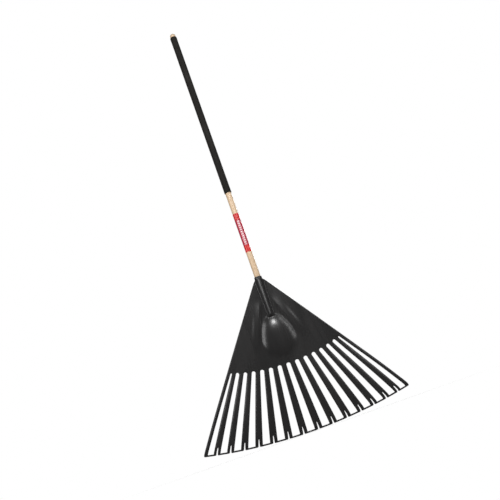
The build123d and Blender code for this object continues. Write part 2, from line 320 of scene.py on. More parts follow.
def head_plastic():
    """Satin black moulding, scuffed towards the tips."""
    finish = Finish("head_plastic")
    up = finish.along("Z")
    flow = finish.noise(finish.place((14, 14, 2.5)), 1.0, 4.0, 0.55, 0.6)
    cloud = finish.noise(finish.place(), 9.0, 3.0)
    scratch = finish.noise(finish.place((900, 900, 22)), 1.0, 2.0, 0.6)
    low = up.ramp(0.10, 0.0)
    scuff = (scratch.ramp(0.60, 0.78) * low * cloud.ramp(0.35, 0.65)) * 0.55
    black = finish.mix(PLASTIC_DEEP, PLASTIC_PALE, flow.ramp(0.3, 0.7))
    colour = finish.mix(black, PLASTIC_SCUFFED, scuff)
    grain = finish.noise(finish.place(), 1500.0, 2.0, 0.6)
    waves = finish.noise(finish.place((30, 30, 12)), 1.0, 2.0)
    skin = finish.bump(grain, 0.00004, 0.30, finish.bump(waves, 0.0012, 0.12))
    rough = 0.22 + flow.ramp(0.25, 0.75) * 0.06 + cloud * 0.04 + scuff * 0.4
    return finish.principled(
        Base_Color=colour, Roughness=rough, Normal=skin, IOR=1.49, Specular_IOR_Level=0.5
    )


HEAD_PLASTIC = head_plastic()
print("made", HEAD_PLASTIC.name)

# %% [markdown]
# ## The head's sheet
#
# The head is one sheet, 3 mm thick. Drawn flat it is a fan: fifteen windows with fourteen tines
# between them and half a tine along each side. It could be cut from a solid with booleans, but
# a moulding has soft edges and smooth swells, and they come from an even grid of faces that is
# bent into place. So the plan is: find how a line of the fan runs, how the sheet runs from
# mouth to tip, and what swells out of it, then move one grid along those three rules.

# %% Sizes of the head
SHEET = 0.003
SETBACK = 0.003  # the sheet's front, behind the handle's axis
DROP = HEAD_HIGH.z - HEAD_LOW.z
HALF_WIDTH = (HEAD_HIGH.x - HEAD_LOW.x) / 2
CORNER_RISE = 0.039
ARCH_DEPTH = 0.030
SIDE_ANGLE = math.radians(35.0)
SIDE_SLOPE = math.tan(SIDE_ANGLE)
APEX = HALF_WIDTH / SIDE_SLOPE - (DROP - CORNER_RISE)
WINDOWS = 15
LAST = WINDOWS // 2
PITCH = SIDE_SLOPE / (WINDOWS / 2)
WINDOW_TOP = 0.324
WINDOW_TOP_RADIUS = 0.760
SHARE_TOP, SHARE_TIP = 0.46, 0.50
EDGE_TINE = 0.012
NOTCH_LENGTH = 0.025
NOTCH_TOP, NOTCH_TIP = 0.0012, 0.0044
TIP_BAR = 0.0065
ROUNDED_OFF = 0.0006  # what the rounding takes off each edge, so edges are drawn that much outside
BAR_AHEAD, BAR_BEHIND = 0.0002, 0.0032  # how much thicker the sheet is along the tips
BEND_RADIUS, BEND_ANGLE = 0.600, math.radians(14.0)
HOOK_RADIUS, HOOK_ANGLE = 0.030, math.radians(72.0)
TIP_STRAIGHT = 0.008
BEND_RUN = BEND_RADIUS * BEND_ANGLE
HOOK_RUN = HOOK_RADIUS * (HOOK_ANGLE - BEND_ANGLE)
STRAIGHT_RUN = (
    DROP
    - BEND_RADIUS * math.sin(BEND_ANGLE)
    - HOOK_RADIUS * (math.sin(HOOK_ANGLE) - math.sin(BEND_ANGLE))
    - TIP_STRAIGHT * math.cos(HOOK_ANGLE)
)
SHEET_RUN = STRAIGHT_RUN + BEND_RUN + HOOK_RUN + TIP_STRAIGHT
print(f"fan apex {APEX * 1000:.1f} mm above the mouth, sheet {SHEET_RUN * 1000:.1f} mm long")


# %% The sheet's side view
def profile(run, depth):
    """(y, z) from the mouth, run along the middle of the sheet's front and depth behind it."""
    first_y = SETBACK + BEND_RADIUS
    inner = BEND_RADIUS - HOOK_RADIUS
    hook_y = first_y - inner * math.cos(BEND_ANGLE)
    hook_z = -STRAIGHT_RUN - inner * math.sin(BEND_ANGLE)
    if run <= STRAIGHT_RUN:
        return SETBACK + depth, -run
    if run <= STRAIGHT_RUN + BEND_RUN:
        turn = (run - STRAIGHT_RUN) / BEND_RADIUS
        radius = BEND_RADIUS - depth
        return first_y - radius * math.cos(turn), -STRAIGHT_RUN - radius * math.sin(turn)
    past = run - STRAIGHT_RUN - BEND_RUN
    turn = min(BEND_ANGLE + past / HOOK_RADIUS, HOOK_ANGLE)
    radius = HOOK_RADIUS - depth
    beyond = max(0.0, past - HOOK_RUN)
    y = hook_y - radius * math.cos(turn) + beyond * math.sin(turn)
    z = hook_z - radius * math.sin(turn) - beyond * math.cos(turn)
    return y, z


TIP_Y, TIP_Z = profile(SHEET_RUN, 0)
TIP_TILT = math.atan2(CORNER_RISE, ARCH_DEPTH)
CHORD_DEPTH = math.hypot(ARCH_DEPTH, CORNER_RISE)
TIP_CIRCLE = (HALF_WIDTH**2 + CHORD_DEPTH**2) / (2 * CHORD_DEPTH)


def arched(x, run, depth):
    """Point of the sheet x to the side: the profile turned about the tip circle's tilted axis."""
    y, z = profile(run, depth)
    radius = TIP_CIRCLE - (y - TIP_Y) * math.cos(TIP_TILT) - (z - TIP_Z) * math.sin(TIP_TILT)
    fall = radius - math.sqrt(radius * radius - x * x)
    return Vector((x, y + fall * math.cos(TIP_TILT), z + fall * math.sin(TIP_TILT)))


print(f"tips end {TIP_Y * 1000:.1f} mm behind the handle's axis")


# %% [markdown]
# ### Lines of the fan
#
# Each column of the grid follows one line of the fan, from the socket to the tips. A window's
# sides, the sides of its slit and the tine's middle are all such lines, so a column can be left
# out where the real sheet is open. The two outermost windows are narrower at the top, because
# the half tines along the sides keep one width.

# %% Column lines
# share across the tine, side of the slit, kind of the cells to the right, place from -1 to 1
TINE_LINES = [
    (0.22, 0, "tine", -0.56),
    (0.0, -1, "slit", -0.25),
    (0.5, 0, "slit", 0.0),
    (0.0, 1, "tine", 0.25),
    (0.78, 0, "tine", 0.56),
]


def window_side(index, side, height):
    """x of one side of a window at a height, which is negative below the mouth."""
    below = APEX - height
    if index == side * LAST:
        return side * (SIDE_SLOPE * below - ROUNDED_OFF - EDGE_TINE / math.cos(SIDE_ANGLE))
    top = window_top(PITCH * index)
    down = (top - height) / (top + DROP)
    share = SHARE_TOP + (SHARE_TIP - SHARE_TOP) * down
    return (PITCH * index + side * PITCH * share / 2) * below - side * ROUNDED_OFF


def window_top(slope):
    """Height of the arc that the windows' tops lie on."""
    return -WINDOW_TOP + (slope * (APEX + WINDOW_TOP)) ** 2 / (2 * WINDOW_TOP_RADIUS)


def lifted(index):
    """How much higher a tine's tip ends than the middle ones, because of the arch."""
    x = PITCH * (index + 0.5) * (APEX + DROP)
    return CORNER_RISE * (x / HALF_WIDTH) ** 2


def tine_line(index, share, notch, height):
    """x of a line down the tine right of a window: a share across it, or one side of its slit."""
    left = window_side(index, 1, height)
    right = window_side(index + 1, -1, height)
    if not notch:
        return left + (right - left) * share
    down = min(1.0, max(0.0, (NOTCH_LENGTH - DROP - height + lifted(index)) / NOTCH_LENGTH))
    wider = (NOTCH_TIP - NOTCH_TOP) * down
    half = (NOTCH_TOP + wider) / 2 * math.hypot(1, PITCH * (index + 0.5))
    return (left + right) / 2 + notch * half


def edge_line(side, share, height):
    """x of a line down a half tine: share 0 at the window and 1 at the fan's side."""
    inner = window_side(side * LAST, side, height)
    outer = side * (SIDE_SLOPE * (APEX - height) + ROUNDED_OFF)
    return inner + (outer - inner) * share


def columns():
    """(line, kind of the cells to its right, place across the tine, window) of every column."""
    lines = [
        (lambda h: edge_line(-1, 1.0, h), "tine", -1.0, None),
        (lambda h: edge_line(-1, 0.5, h), "tine", 0.0, None),
    ]
    for index in range(-LAST, LAST + 1):
        for part in range(4):
            def across(h, i=index, p=part):
                left, right = window_side(i, -1, h), window_side(i, 1, h)
                return left + (right - left) * p / 3
            spot = {0: 1.0, 3: -1.0}.get(part)
            lines.append((across, "window" if part < 3 else "tine", spot, index))
        for share, notch, kind, spot in TINE_LINES if index < LAST else []:
            def down(h, i=index, s=share, n=notch):
                return tine_line(i, s, n, h)
            lines.append((down, kind, spot, None))
    lines.append((lambda h: edge_line(1, 0.5, h), "tine", 0.0, None))
    lines.append((lambda h: edge_line(1, 1.0, h), "end", 1.0, None))
    return lines


COLUMNS = columns()
print(len(COLUMNS), "column lines")

# %% [markdown]
# ### Swells of the sheet
#
# A flat fan would fold in use, so the moulder gives it shape. A broad dome below the socket
# stiffens the panel, and so does a long low swell on each side with a narrow fold along its inner
# edge. Every tine is crowned like a spring leaf, and a rib runs down its back. Each is a height
# that is added to the sheet, and the sheet's back follows its front, because the wall of a
# moulding keeps one thickness.

# %% Heights added to the sheet
DOME_MIDDLE, DOME_HALF_WIDTH, DOME_HEIGHT = 0.238, 0.061, 0.0140
DOME_UP, DOME_DOWN = 0.092, 0.056
DOME_SQUARE = 2.1
DOME_FULLNESS = 3.2
DOME_FOOT, DOME_FOOT_END = 0.0014, 1.45
DOME_REACH_LIMIT = 1.5
SWELL_ANGLE = math.radians(20.0)
SWELL_MIDDLE, SWELL_HALF_LENGTH = 0.182, 0.095
SWELL_HALF_WIDTH, SWELL_HEIGHT = 0.022, 0.0046
FOLD_INWARDS, FOLD_HALF_WIDTH, FOLD_HEIGHT = 0.0075, 0.008, 0.0016
TINE_CROWN = 0.0024
CROWN_RAMP = 0.030
CROWN_LOSS, CROWN_LOSS_END = 0.75, 0.020  # share lost along the hook, and how far from its end
RIB_HEIGHT = 0.0040
RIB_RAMP = 0.030
RIB_END = 0.004


def smooth(value, start, end):
    """Smooth step from 0 at start to 1 at end."""
    share = min(1.0, max(0.0, (value - start) / (end - start)))
    return share * share * (3 - 2 * share)


def dome(x, below):
    """Height of the dome at a place on the panel: egg-shaped, full and with a soft foot."""
    along = (below - DOME_MIDDLE) / (DOME_UP if below < DOME_MIDDLE else DOME_DOWN)
    across = abs(x) / DOME_HALF_WIDTH
    reach = (across**DOME_SQUARE + abs(along) ** DOME_SQUARE) ** (1 / DOME_SQUARE)
    height = DOME_HEIGHT * (1 - min(reach, DOME_REACH_LIMIT) ** DOME_FULLNESS)
    foot = 1 - smooth(reach, 1.0, DOME_FOOT_END)
    return (height + math.hypot(height, DOME_FOOT)) / 2 * foot


def swells(x, below):
    """Height of the two long swells beside the dome, each with a narrow fold on its inner side."""
    along = abs(x) * math.sin(SWELL_ANGLE) + below * math.cos(SWELL_ANGLE)
    across = abs(x) * math.cos(SWELL_ANGLE) - below * math.sin(SWELL_ANGLE)
    wide = max(0.0, 1 - (across / SWELL_HALF_WIDTH) ** 2)
    fold = max(0.0, 1 - ((across + FOLD_INWARDS) / FOLD_HALF_WIDTH) ** 2)
    long = max(0.0, 1 - ((along - SWELL_MIDDLE) / SWELL_HALF_LENGTH) ** 2)
    return (SWELL_HEIGHT * wide**2 + FOLD_HEIGHT * fold**2) * long**1.5


NOTCH_RUN = STRAIGHT_RUN + BEND_RADIUS * math.asin((DROP - NOTCH_LENGTH - STRAIGHT_RUN) / BEND_RADIUS)
BAR_RUN = SHEET_RUN - TIP_BAR


def crown(spot, run, root):
    """Height of a tine's rounded face, which fades at its root and along its hook."""
    if spot is None:
        return 0.0
    kept = 1 - CROWN_LOSS * smooth(run, NOTCH_RUN, SHEET_RUN - CROWN_LOSS_END)
    fade = smooth(run, root, root + CROWN_RAMP) * kept
    return TINE_CROWN * (1 - spot * spot) * fade


def rib(spot, run, root):
    """Height of the rib behind a tine's middle line."""
    if spot != 0.0:
        return 0.0
    end = NOTCH_RUN - RIB_END
    return RIB_HEIGHT * smooth(run, root - RIB_RAMP, root) * smooth(run, end, end - RIB_RAMP)


print(f"dome stands {dome(0, DOME_MIDDLE) * 1000:.1f} mm in front of the panel")

# %% [markdown]
# ### The socket
#
# The socket is a tapered tube moulded in one with the sheet. Seen in section, the sheet comes
# in from both sides just behind the handle's axis, meets the tube in a small fillet and goes
# round it. A low keel runs down the tube's front. A column's place in that section is measured
# along the surface, so that the columns close up round the tube and open out again over the panel.

# %% Section across the socket
SOCKET_LENGTH = 0.152
SOCKET_FLOOR = 0.007
SOCKET_WALL = 0.0025
BORE_GAP = 0.00015
HANDLE_TIP_RADIUS = 0.0073
MOUTH_ROUND = 0.0005
MOUTH_RADIUS = HANDLE_RADIUS + BORE_GAP + SOCKET_WALL
TUBE_END_RADIUS = HANDLE_TIP_RADIUS + BORE_GAP + SOCKET_WALL
BORE_DEPTH = SOCKET_LENGTH - SOCKET_FLOOR
WING_START, WING_FULL = 0.003, 0.017
FILLET = 0.003
KEEL = 0.0032


def tube_radius(run):
    """Outside radius of the socket, its mouth slightly rounded."""
    radius = MOUTH_RADIUS + (TUBE_END_RADIUS - MOUTH_RADIUS) * min(run, BORE_DEPTH) / BORE_DEPTH
    return radius - (MOUTH_ROUND if run == 0 else 0)


def tube_share(run):
    """1 along the socket, falling like a ball's side to 0 at its closed end."""
    past = (run - SOCKET_LENGTH + TUBE_END_RADIUS) / TUBE_END_RADIUS
    return math.sqrt(1 - past * past) if 0 < past < 1 else float(past <= 0)


def front_section(share, radius, width):
    """(x, y) a share of the way from the socket's crest round to the sheet's edge."""
    arc, bend = radius * math.pi / 2, FILLET * math.pi / 2
    along = share * (arc + bend + max(0.0, width - radius - FILLET))
    if along < arc:
        side = math.sin(along / radius)
        return radius * side, -radius * math.cos(along / radius) - KEEL * (1 - side) ** 2
    if along < arc + bend:
        turn = (along - arc) / FILLET
        return radius + FILLET * (1 - math.cos(turn)), FILLET * math.sin(turn) + SETBACK - FILLET
    return radius + FILLET + along - arc - bend, SETBACK


def back_section(share, radius, width):
    """The same on the side behind."""
    turn = math.acos((SETBACK + SHEET) / radius)
    edge = radius * math.sin(turn)
    along = share * (radius * turn + max(0.0, width - edge))
    if along < radius * turn:
        return radius * math.sin(along / radius), radius * math.cos(along / radius)
    return edge + along - radius * turn, SETBACK + SHEET


def ring_section(share, radius, behind):
    """The same at the mouth, where nothing but the round tube is left."""
    if behind:
        turn = share * math.acos((SETBACK + SHEET) / radius)
        return radius * math.sin(turn), radius * math.cos(turn)
    turn = share * (math.pi / 2 + math.asin(SETBACK / radius))
    return radius * math.sin(turn), -radius * math.cos(turn)


def section(share, run, width, behind):
    """(x, y) on one side of the head, x from 0 outwards, at a run below the mouth."""
    flat = (width * share, SETBACK + (SHEET if behind else 0))
    radius, tube = tube_radius(run), tube_share(run)
    if tube == 0:
        return flat
    winged = (back_section if behind else front_section)(share, radius, width)
    ring = ring_section(share, radius, behind)
    wings = smooth(run, WING_START, WING_FULL)
    full = [a + (b - a) * wings for a, b in zip(ring, winged)]
    return [a + (b - a) * tube for a, b in zip(flat, full)]


print(f"socket {MOUTH_RADIUS * 2000:.1f} mm across at its mouth,")
print(f"and {TUBE_END_RADIUS * 2000:.1f} mm at its closed end")

# %% [markdown]
# ### The grid
#
# `create_grid` gives even rows and columns, and each vertex keeps its own row and column number
# in a layer. Cells are deleted where the windows and the slits are. The rest is extruded once,
# which makes a closed shell with a front and a back, and then every vertex moves to its place.
# One Subdivision level rounds the edges, as the mould does.

# %% Rows of the grid
# (end of a stretch below the mouth, rows in it); close together where the shape turns fast
PANEL_STRETCHES = [
    (0.0009, 1), (0.017, 5), (0.125, 11), (0.141, 3), (0.1525, 7), (0.165, 3), (0.310, 19),
    (WINDOW_TOP, 3),
]
TINE_ROWS = 13
HOOK_ROWS = 9
CORNER_DROP = 0.0030


def stretched(stretches):
    """Numbers from 0 in even steps along each stretch."""
    values = [0.0]
    for end, count in stretches:
        start = values[-1]
        values += [start + (end - start) * (n + 1) / count for n in range(count)]
    return values


PANEL_ROWS = [value / WINDOW_TOP for value in stretched(PANEL_STRETCHES)]
TOP_ROW = len(PANEL_ROWS) - 1
NOTCH_ROW = TOP_ROW + TINE_ROWS
BAR_ROW = NOTCH_ROW + HOOK_ROWS
TIP_ROW = BAR_ROW + 1


def column_tops():
    """Height where each column reaches the windows' tops, each top square to its own window."""
    tops = {}
    for number, (line, _, _, index) in enumerate(COLUMNS):
        if index is None:
            continue
        slope = PITCH * index
        height = window_top(slope)
        across = line(height) - slope * (APEX - height)
        tops[number] = height + slope * across
    known = sorted(tops)
    for number in range(len(COLUMNS)):
        if number not in tops:
            left = max([k for k in known if k < number], default=known[0])
            right = min([k for k in known if k > number], default=known[-1])
            part = (number - left) / (right - left) if right > left else 0.0
            tops[number] = tops[left] + (tops[right] - tops[left]) * part
    return tops


print(TIP_ROW + 1, "rows, the windows from row", TOP_ROW, "to", BAR_ROW)

# %% Places of the grid's vertices
TOPS = column_tops()
CLOSE_NEAR, CLOSE_FAR = 1.65, 1.0  # how strongly the columns crowd towards the middle
CLOSE_START, CLOSE_END = 0.150, 0.310
CORNER_ROWS = 6
TUBE_CLEAR, TUBE_BLEND = 0.002, 0.004  # the swells fade out beside the tube
FIRST_TINE_STEP = 0.02
SLIT_ROUND = 0.0012


def settle(run, depth, side_x):
    """(x, height) on the sheet at a run, where x follows a line of the fan."""
    height = profile(run, depth)[1]
    for _ in range(5):
        place = arched(side_x(height), run, depth)
        height = place.z
    return place.x, height


def top_run(line, height):
    """Run down the sheet at which a column reaches a height."""
    x, run = line(height), -height
    for _ in range(4):
        run += arched(x, run, 0).z - height
    return run


def vertex_place(column, row, behind):
    """Where one vertex of the grid goes, measured from the socket's mouth."""
    line, kind, spot, index = COLUMNS[column]
    root = top_run(line, TOPS[column])
    depth = SHEET if behind else 0.0
    if row >= BAR_ROW:
        depth = SHEET + BAR_BEHIND if behind else -BAR_AHEAD
    if row > TOP_ROW:
        run = row_run(row, root, kind, spot)
        x, height = settle(run, depth, line)
        place = arched(x, run, depth)
        ahead = crown(spot, run, root) - (rib(spot, run, root) if behind else 0)
        return place - Vector((0, ahead, 0))
    drop = CORNER_DROP if index is not None and (kind == "tine" or spot == 1.0) else 0
    run = PANEL_ROWS[row] * (root + drop * smooth(row, TOP_ROW - CORNER_ROWS, TOP_ROW))
    spread = CLOSE_NEAR + (CLOSE_FAR - CLOSE_NEAR) * smooth(run, CLOSE_START, CLOSE_END)
    top_width = SIDE_SLOPE * (APEX - TOPS[column])
    fan_share = line(TOPS[column]) / top_width
    share = math.copysign(abs(fan_share) ** spread, fan_share)
    _, height = settle(run, depth, lambda h: SIDE_SLOPE * (APEX - h) * share)
    width = max(SIDE_SLOPE * (APEX - height), tube_radius(run))
    x, y = section(abs(share), run, width, behind)
    x = math.copysign(x, share)
    place = arched(x, run, 0) + Vector((0, y - SETBACK, 0))
    ahead = dome(x, -place.z) + swells(x, -place.z)
    beside = tube_radius(run) + TUBE_CLEAR - abs(x)
    ahead *= 1 - smooth(beside, 0, TUBE_BLEND) * tube_share(run)
    ahead += -rib(spot, run, root) if behind else 0
    return place - Vector((0, ahead, 0))


def row_run(row, root, kind, spot):
    """Run of a row below the windows' tops."""
    if row <= NOTCH_ROW:
        step = (row - TOP_ROW) / TINE_ROWS
        run = root + (NOTCH_RUN - root) * (FIRST_TINE_STEP if row == TOP_ROW + 1 else step)
        rounding = {0.25: 1.0, -0.25: 1.0, 0.0: -1.0}.get(spot, 0.0)
        return run + (rounding * SLIT_ROUND if row == NOTCH_ROW else 0)
    if row <= BAR_ROW:
        return NOTCH_RUN + (BAR_RUN - NOTCH_RUN) * (row - NOTCH_ROW) / HOOK_ROWS
    return SHEET_RUN


# %% The head's mesh
def is_open(kind, row):
    """True where the cell below a row is part of a window or a slit."""
    if kind == "window":
        return TOP_ROW <= row < BAR_ROW
    return kind == "slit" and NOTCH_ROW <= row


def head_grid():
    """Flat grid with the windows and slits left out, its places kept in layers."""
    form = bmesh.new()
    column_of = form.verts.layers.int.new("column")
    row_of = form.verts.layers.int.new("row")
    across, down = len(COLUMNS) - 1, TIP_ROW
    bmesh.ops.create_grid(form, x_segments=across, y_segments=down, size=0.5)
    for vertex in form.verts:
        vertex[column_of] = round((vertex.co.x + 0.5) * across)
        vertex[row_of] = round((0.5 - vertex.co.y) * down)
    openings = []
    for face in form.faces:
        column = min(vertex[column_of] for vertex in face.verts)
        row = min(vertex[row_of] for vertex in face.verts)
        if is_open(COLUMNS[column][1], row):
            openings.append(face)
    bmesh.ops.delete(form, geom=openings, context="FACES")
    return form, column_of, row_of


def head_shell():
    """Closed shell of the head, still without its bore."""
    form, column_of, row_of = head_grid()
    made = bmesh.ops.extrude_face_region(form, geom=list(form.faces))["geom"]
    behind = {item for item in made if isinstance(item, bmesh.types.BMVert)}
    mouth = Vector((0, AXIS_Y, MOUTH_Z))
    for vertex in form.verts:
        vertex.co = mouth + vertex_place(vertex[column_of], vertex[row_of], vertex in behind)
    bmesh.ops.recalc_face_normals(form, faces=form.faces)
    cap = [face for face in form.faces if all(vertex[row_of] == 0 for vertex in face.verts)]
    return form, cap


def open_edges(form):
    """Edges that don't join exactly two faces; a closed shell has none."""
    return sum(1 for edge in form.edges if len(edge.link_faces) != 2)


head, mouth_cap = head_shell()
print(len(head.verts), "vertices,", len(head.faces), "faces,", open_edges(head), "open edges")

# %% [markdown]
# ### Bore, boss and edges
#
# The mouth is still closed by a cap. It is inset by the socket's wall and pushed down the
# handle's taper. A boolean could do it too, but would cut across the even rows of faces. The boss
# for the screw is a plain cylinder that is left standing through the socket's wall.

# %% The socket's bore
BORE_STEPS = [0.0012, 0.020, BORE_DEPTH - 0.002, BORE_DEPTH]


def sink_bore(form, cap):
    """Insets the mouth and sinks it in steps along the handle's taper."""
    bmesh.ops.inset_region(
        form, faces=cap, thickness=SOCKET_WALL - MOUTH_ROUND, use_even_offset=True, use_boundary=True
    )
    mouth_radius = HANDLE_RADIUS + BORE_GAP
    for depth in BORE_STEPS:
        floor_before = cap
        made = bmesh.ops.extrude_face_region(form, geom=floor_before)["geom"]
        cap = [item for item in made if isinstance(item, bmesh.types.BMFace)]
        bmesh.ops.delete(form, geom=floor_before, context="FACES")
        radius = mouth_radius + (HANDLE_TIP_RADIUS - HANDLE_RADIUS) * depth / BORE_DEPTH
        for vertex in {v for face in cap for v in face.verts}:
            spoke = Vector((vertex.co.x, vertex.co.y - AXIS_Y, 0)).normalized() * radius
            vertex.co = Vector((spoke.x, AXIS_Y + spoke.y, MOUTH_Z - depth))


sink_bore(head, mouth_cap)
print("with the bore:", len(head.faces), "faces,", open_edges(head), "open edges")

# %% Boss and finished head
BOSS_RADIUS, BOSS_SEAT, BOSS_ROUND = 0.0065, 0.0155, 0.0009
SCREW_Z = (SCREW_LOW.z + SCREW_HIGH.z) / 2


def finish_piece(name, form, material, node, sharp=35.0):
    """Object of a piece that stands for a CAD node: smooth, sharp only past an angle."""
    for face in form.faces:
        face.smooth = True
    for edge in form.edges:
        edge.smooth = edge.calc_face_angle(0.0) < math.radians(sharp)
    piece = new_object(name, form, material)
    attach(piece, "root")
    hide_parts(node)
    return piece


def add_boss(form):
    """Round seat for the screw, from inside the bore out through the back of the socket."""
    length = BOSS_SEAT - SETBACK - SHEET
    middle = Vector((0, AXIS_Y + SETBACK + SHEET + length / 2, SCREW_Z))
    turn = Matrix.Rotation(math.radians(90), 4, "X")
    made = bmesh.ops.create_cone(
        form, cap_ends=True, segments=32, radius1=BOSS_RADIUS, radius2=BOSS_RADIUS, depth=length,
        matrix=Matrix.Translation(middle) @ turn,
    )["verts"]
    rims = {edge for vertex in made for edge in vertex.link_edges if len(edge.link_faces) == 2}
    rims = [edge for edge in rims if edge.calc_face_angle() > 1.0]
    bmesh.ops.bevel(
        form, geom=rims, offset=BOSS_ROUND, segments=2, profile=0.5, affect="EDGES", material=-1
    )


add_boss(head)
rake_head = finish_piece("rake_head_moulding", head, HEAD_PLASTIC, "rake_head", 180)
rounding = rake_head.modifiers.new("rounding", "SUBSURF")
rounding.levels = rounding.render_levels = 1
print("head mesh done")

# %% [markdown]
# ## Handle
#
# The handle is a turned hardwood dowel with a rounded end and a long taper for the socket. It
# is one profile spun round its axis. The wood is made as a solid texture: rings round the
# heart of a log, somewhere off to the side, so that the side of the dowel shows long grain and
# its end shows arcs, as a sawn and turned stick does.


# %% Turned pieces
def arc(radius, height, reach, start, end, steps=6):
    """Points of a round corner in a profile, angles in degrees from outwards towards up."""
    turns = [math.radians(start + (end - start) * n / steps) for n in range(steps + 1)]
    return [(radius + reach * math.cos(t), height + reach * math.sin(t)) for t in turns]


def turned_form(points, segments, closed):
    """Spins a profile of (radius, height) points round the handle's axis."""
    form = bmesh.new()
    chain = [form.verts.new((radius, AXIS_Y, height)) for radius, height in points]
    pairs = zip(chain, chain[1:] + chain[:1] if closed else chain[1:])
    edges = [form.edges.new(pair) for pair in pairs]
    bmesh.ops.spin(
        form, geom=chain + edges, cent=(0, AXIS_Y, 0), axis=(0, 0, 1), angle=math.tau,
        steps=segments, use_merge=True,
    )
    bmesh.ops.remove_doubles(form, verts=form.verts, dist=1e-6)
    bmesh.ops.recalc_face_normals(form, faces=form.faces)
    return form


print(f"turned pieces stand round y = {AXIS_Y * 1000:.1f} mm")


# %% Wood
LOG_HEART = (0.046, AXIS_Y + 0.031, 0.0)
RING_PITCH = 0.0026
WOOD_PALE, WOOD_DEEP = (0.66, 0.49, 0.325, 1), (0.56, 0.39, 0.24, 1)
WOOD_PORE, WOOD_HANDLED = (0.36, 0.24, 0.14, 1), (0.50, 0.335, 0.175, 1)
END_DEEP, END_PALE = (0.36, 0.29, 0.21, 1), (0.46, 0.37, 0.265, 1)
KNOB_START, KNOB_END = TOP_Z - 0.013, TOP_Z - 0.004


def handle_wood():
    """Lacquered pale hardwood with long grain, fine pores and end grain on its knob."""
    finish = Finish("handle_wood")
    up = finish.along("Z")
    wander = finish.noise(finish.place((9, 9, 1.6)), 1.0, 3.0, 0.5)
    spot = finish.place((1, 1, 0.03), LOG_HEART)
    radius = finish.node("ShaderNodeVectorMath", {"operation": "LENGTH"}, {0: spot}, out="Value")
    turns = (radius + wander * 0.006) * (math.tau / RING_PITCH)
    ring = finish.node("ShaderNodeMath", {"operation": "SINE"}, {0: turns}).ramp(-0.6, 1.0)
    fibre = finish.noise(finish.place((900, 900, 16)), 1.0, 3.0, 0.6)
    pore = finish.noise(finish.place((1900, 1900, 90)), 1.0, 1.0, 0.5).ramp(0.64, 0.76)
    patch = finish.noise(finish.place((14, 14, 3.0)), 1.0, 2.0)
    grain = ring * 0.36 + fibre.ramp(0.3, 0.7) * 0.24 + patch.ramp(0.3, 0.7) * 0.30
    long_grain = finish.mix(WOOD_PALE, WOOD_DEEP, grain)
    long_grain = finish.mix(long_grain, WOOD_PORE, pore * 0.22)
    knob = up.ramp(KNOB_START, KNOB_END)
    handled = up.ramp(LABEL_LOW.z, MOUTH_Z) * 0.10
    colour = finish.mix(long_grain, WOOD_HANDLED, handled)
    colour = finish.mix(colour, finish.mix(END_DEEP, END_PALE, ring), knob)
    skin = finish.bump(fibre - pore * 0.8, 0.00006, 0.35)
    rough = 0.38 + fibre * 0.16 + knob * 0.3
    coat = 0.45 - knob * 0.35
    return finish.principled(
        Base_Color=colour, Roughness=rough, Normal=skin, Coat_Weight=coat, Coat_Roughness=0.22
    )


HANDLE_WOOD = handle_wood()
print("made", HANDLE_WOOD.name, "with rings every", RING_PITCH * 1000, "mm")

# %% Handle
HANDLE_ROUND = 0.008
HANDLE_CHAMFER = 0.0006
TAPER_ROWS, STRAIGHT_ROWS = 4, 24
TURN_STEPS = 72


def handle_profile():
    """Half outline of the dowel, from the middle of its lower end to the middle of its top."""
    low, tip = HANDLE_LOW.z, HANDLE_TIP_RADIUS
    points = [(0, low), (tip - HANDLE_CHAMFER, low), (tip, low + HANDLE_CHAMFER)]
    for n in range(1, TAPER_ROWS + 1):
        radius = tip + (HANDLE_RADIUS - tip) * n / TAPER_ROWS
        points.append((radius, low + (MOUTH_Z - low) * n / TAPER_ROWS))
    end = TOP_Z - HANDLE_ROUND
    for n in range(1, STRAIGHT_ROWS):
        points.append((HANDLE_RADIUS, MOUTH_Z + (end - MOUTH_Z) * n / STRAIGHT_ROWS))
    points += arc(HANDLE_RADIUS - HANDLE_ROUND, end, HANDLE_ROUND, 0, 90, 10)
    return points + [(0, TOP_Z)]


handle_form = turned_form(handle_profile(), TURN_STEPS, closed=False)
print("handle", len(handle_form.faces), "faces,", open_edges(handle_form), "open edges")
finish_piece("handle_dowel", handle_form, HANDLE_WOOD, "handle", 50)

# %% [markdown]
# ## Cushion grip
#
# The grip is a long foam sleeve, pulled over the handle until it clings. Its skin is matt and
# finely pebbled, and its cut ends are rounded. The sleeve is a closed profile, spun like the
# handle, and its skin is three bumps: a slow unevenness, small cells and a finer grain on them.

# %% Foam
FOAM_DEEP, FOAM_PALE = (0.0085, 0.0077, 0.0066, 1), (0.0140, 0.0128, 0.0110, 1)
FOAM_RUBBED = (0.025, 0.0230, 0.0200, 1)


def grip_foam():
    """Matt black foam with a pebbled skin, slightly greyed where hands rub it."""
    finish = Finish("grip_foam")
    cells = finish.node(
        "ShaderNodeTexVoronoi", {"feature": "F1"}, {"Vector": finish.place(), "Scale": 1150.0}
    )
    fine = finish.noise(finish.place(), 2600.0, 2.0, 0.6)
    slow = finish.noise(finish.place((60, 60, 22)), 1.0, 3.0)
    rubbed = finish.noise(finish.place((26, 26, 9)), 1.0, 4.0, 0.6).ramp(0.48, 0.72)
    colour = finish.mix(FOAM_DEEP, FOAM_PALE, fine.ramp(0.3, 0.7))
    colour = finish.mix(colour, FOAM_RUBBED, rubbed * 0.5)
    skin = finish.bump(slow, 0.0006, 0.35)
    skin = finish.bump(cells, 0.00035, 0.7, skin)
    skin = finish.bump(fine, 0.0001, 0.5, skin)
    rough = 0.80 + cells * 0.10 - rubbed * 0.12
    return finish.principled(
        Base_Color=colour, Roughness=rough, Normal=skin, IOR=1.45, Specular_IOR_Level=0.3
    )


GRIP_FOAM = grip_foam()
print("made", GRIP_FOAM.name)

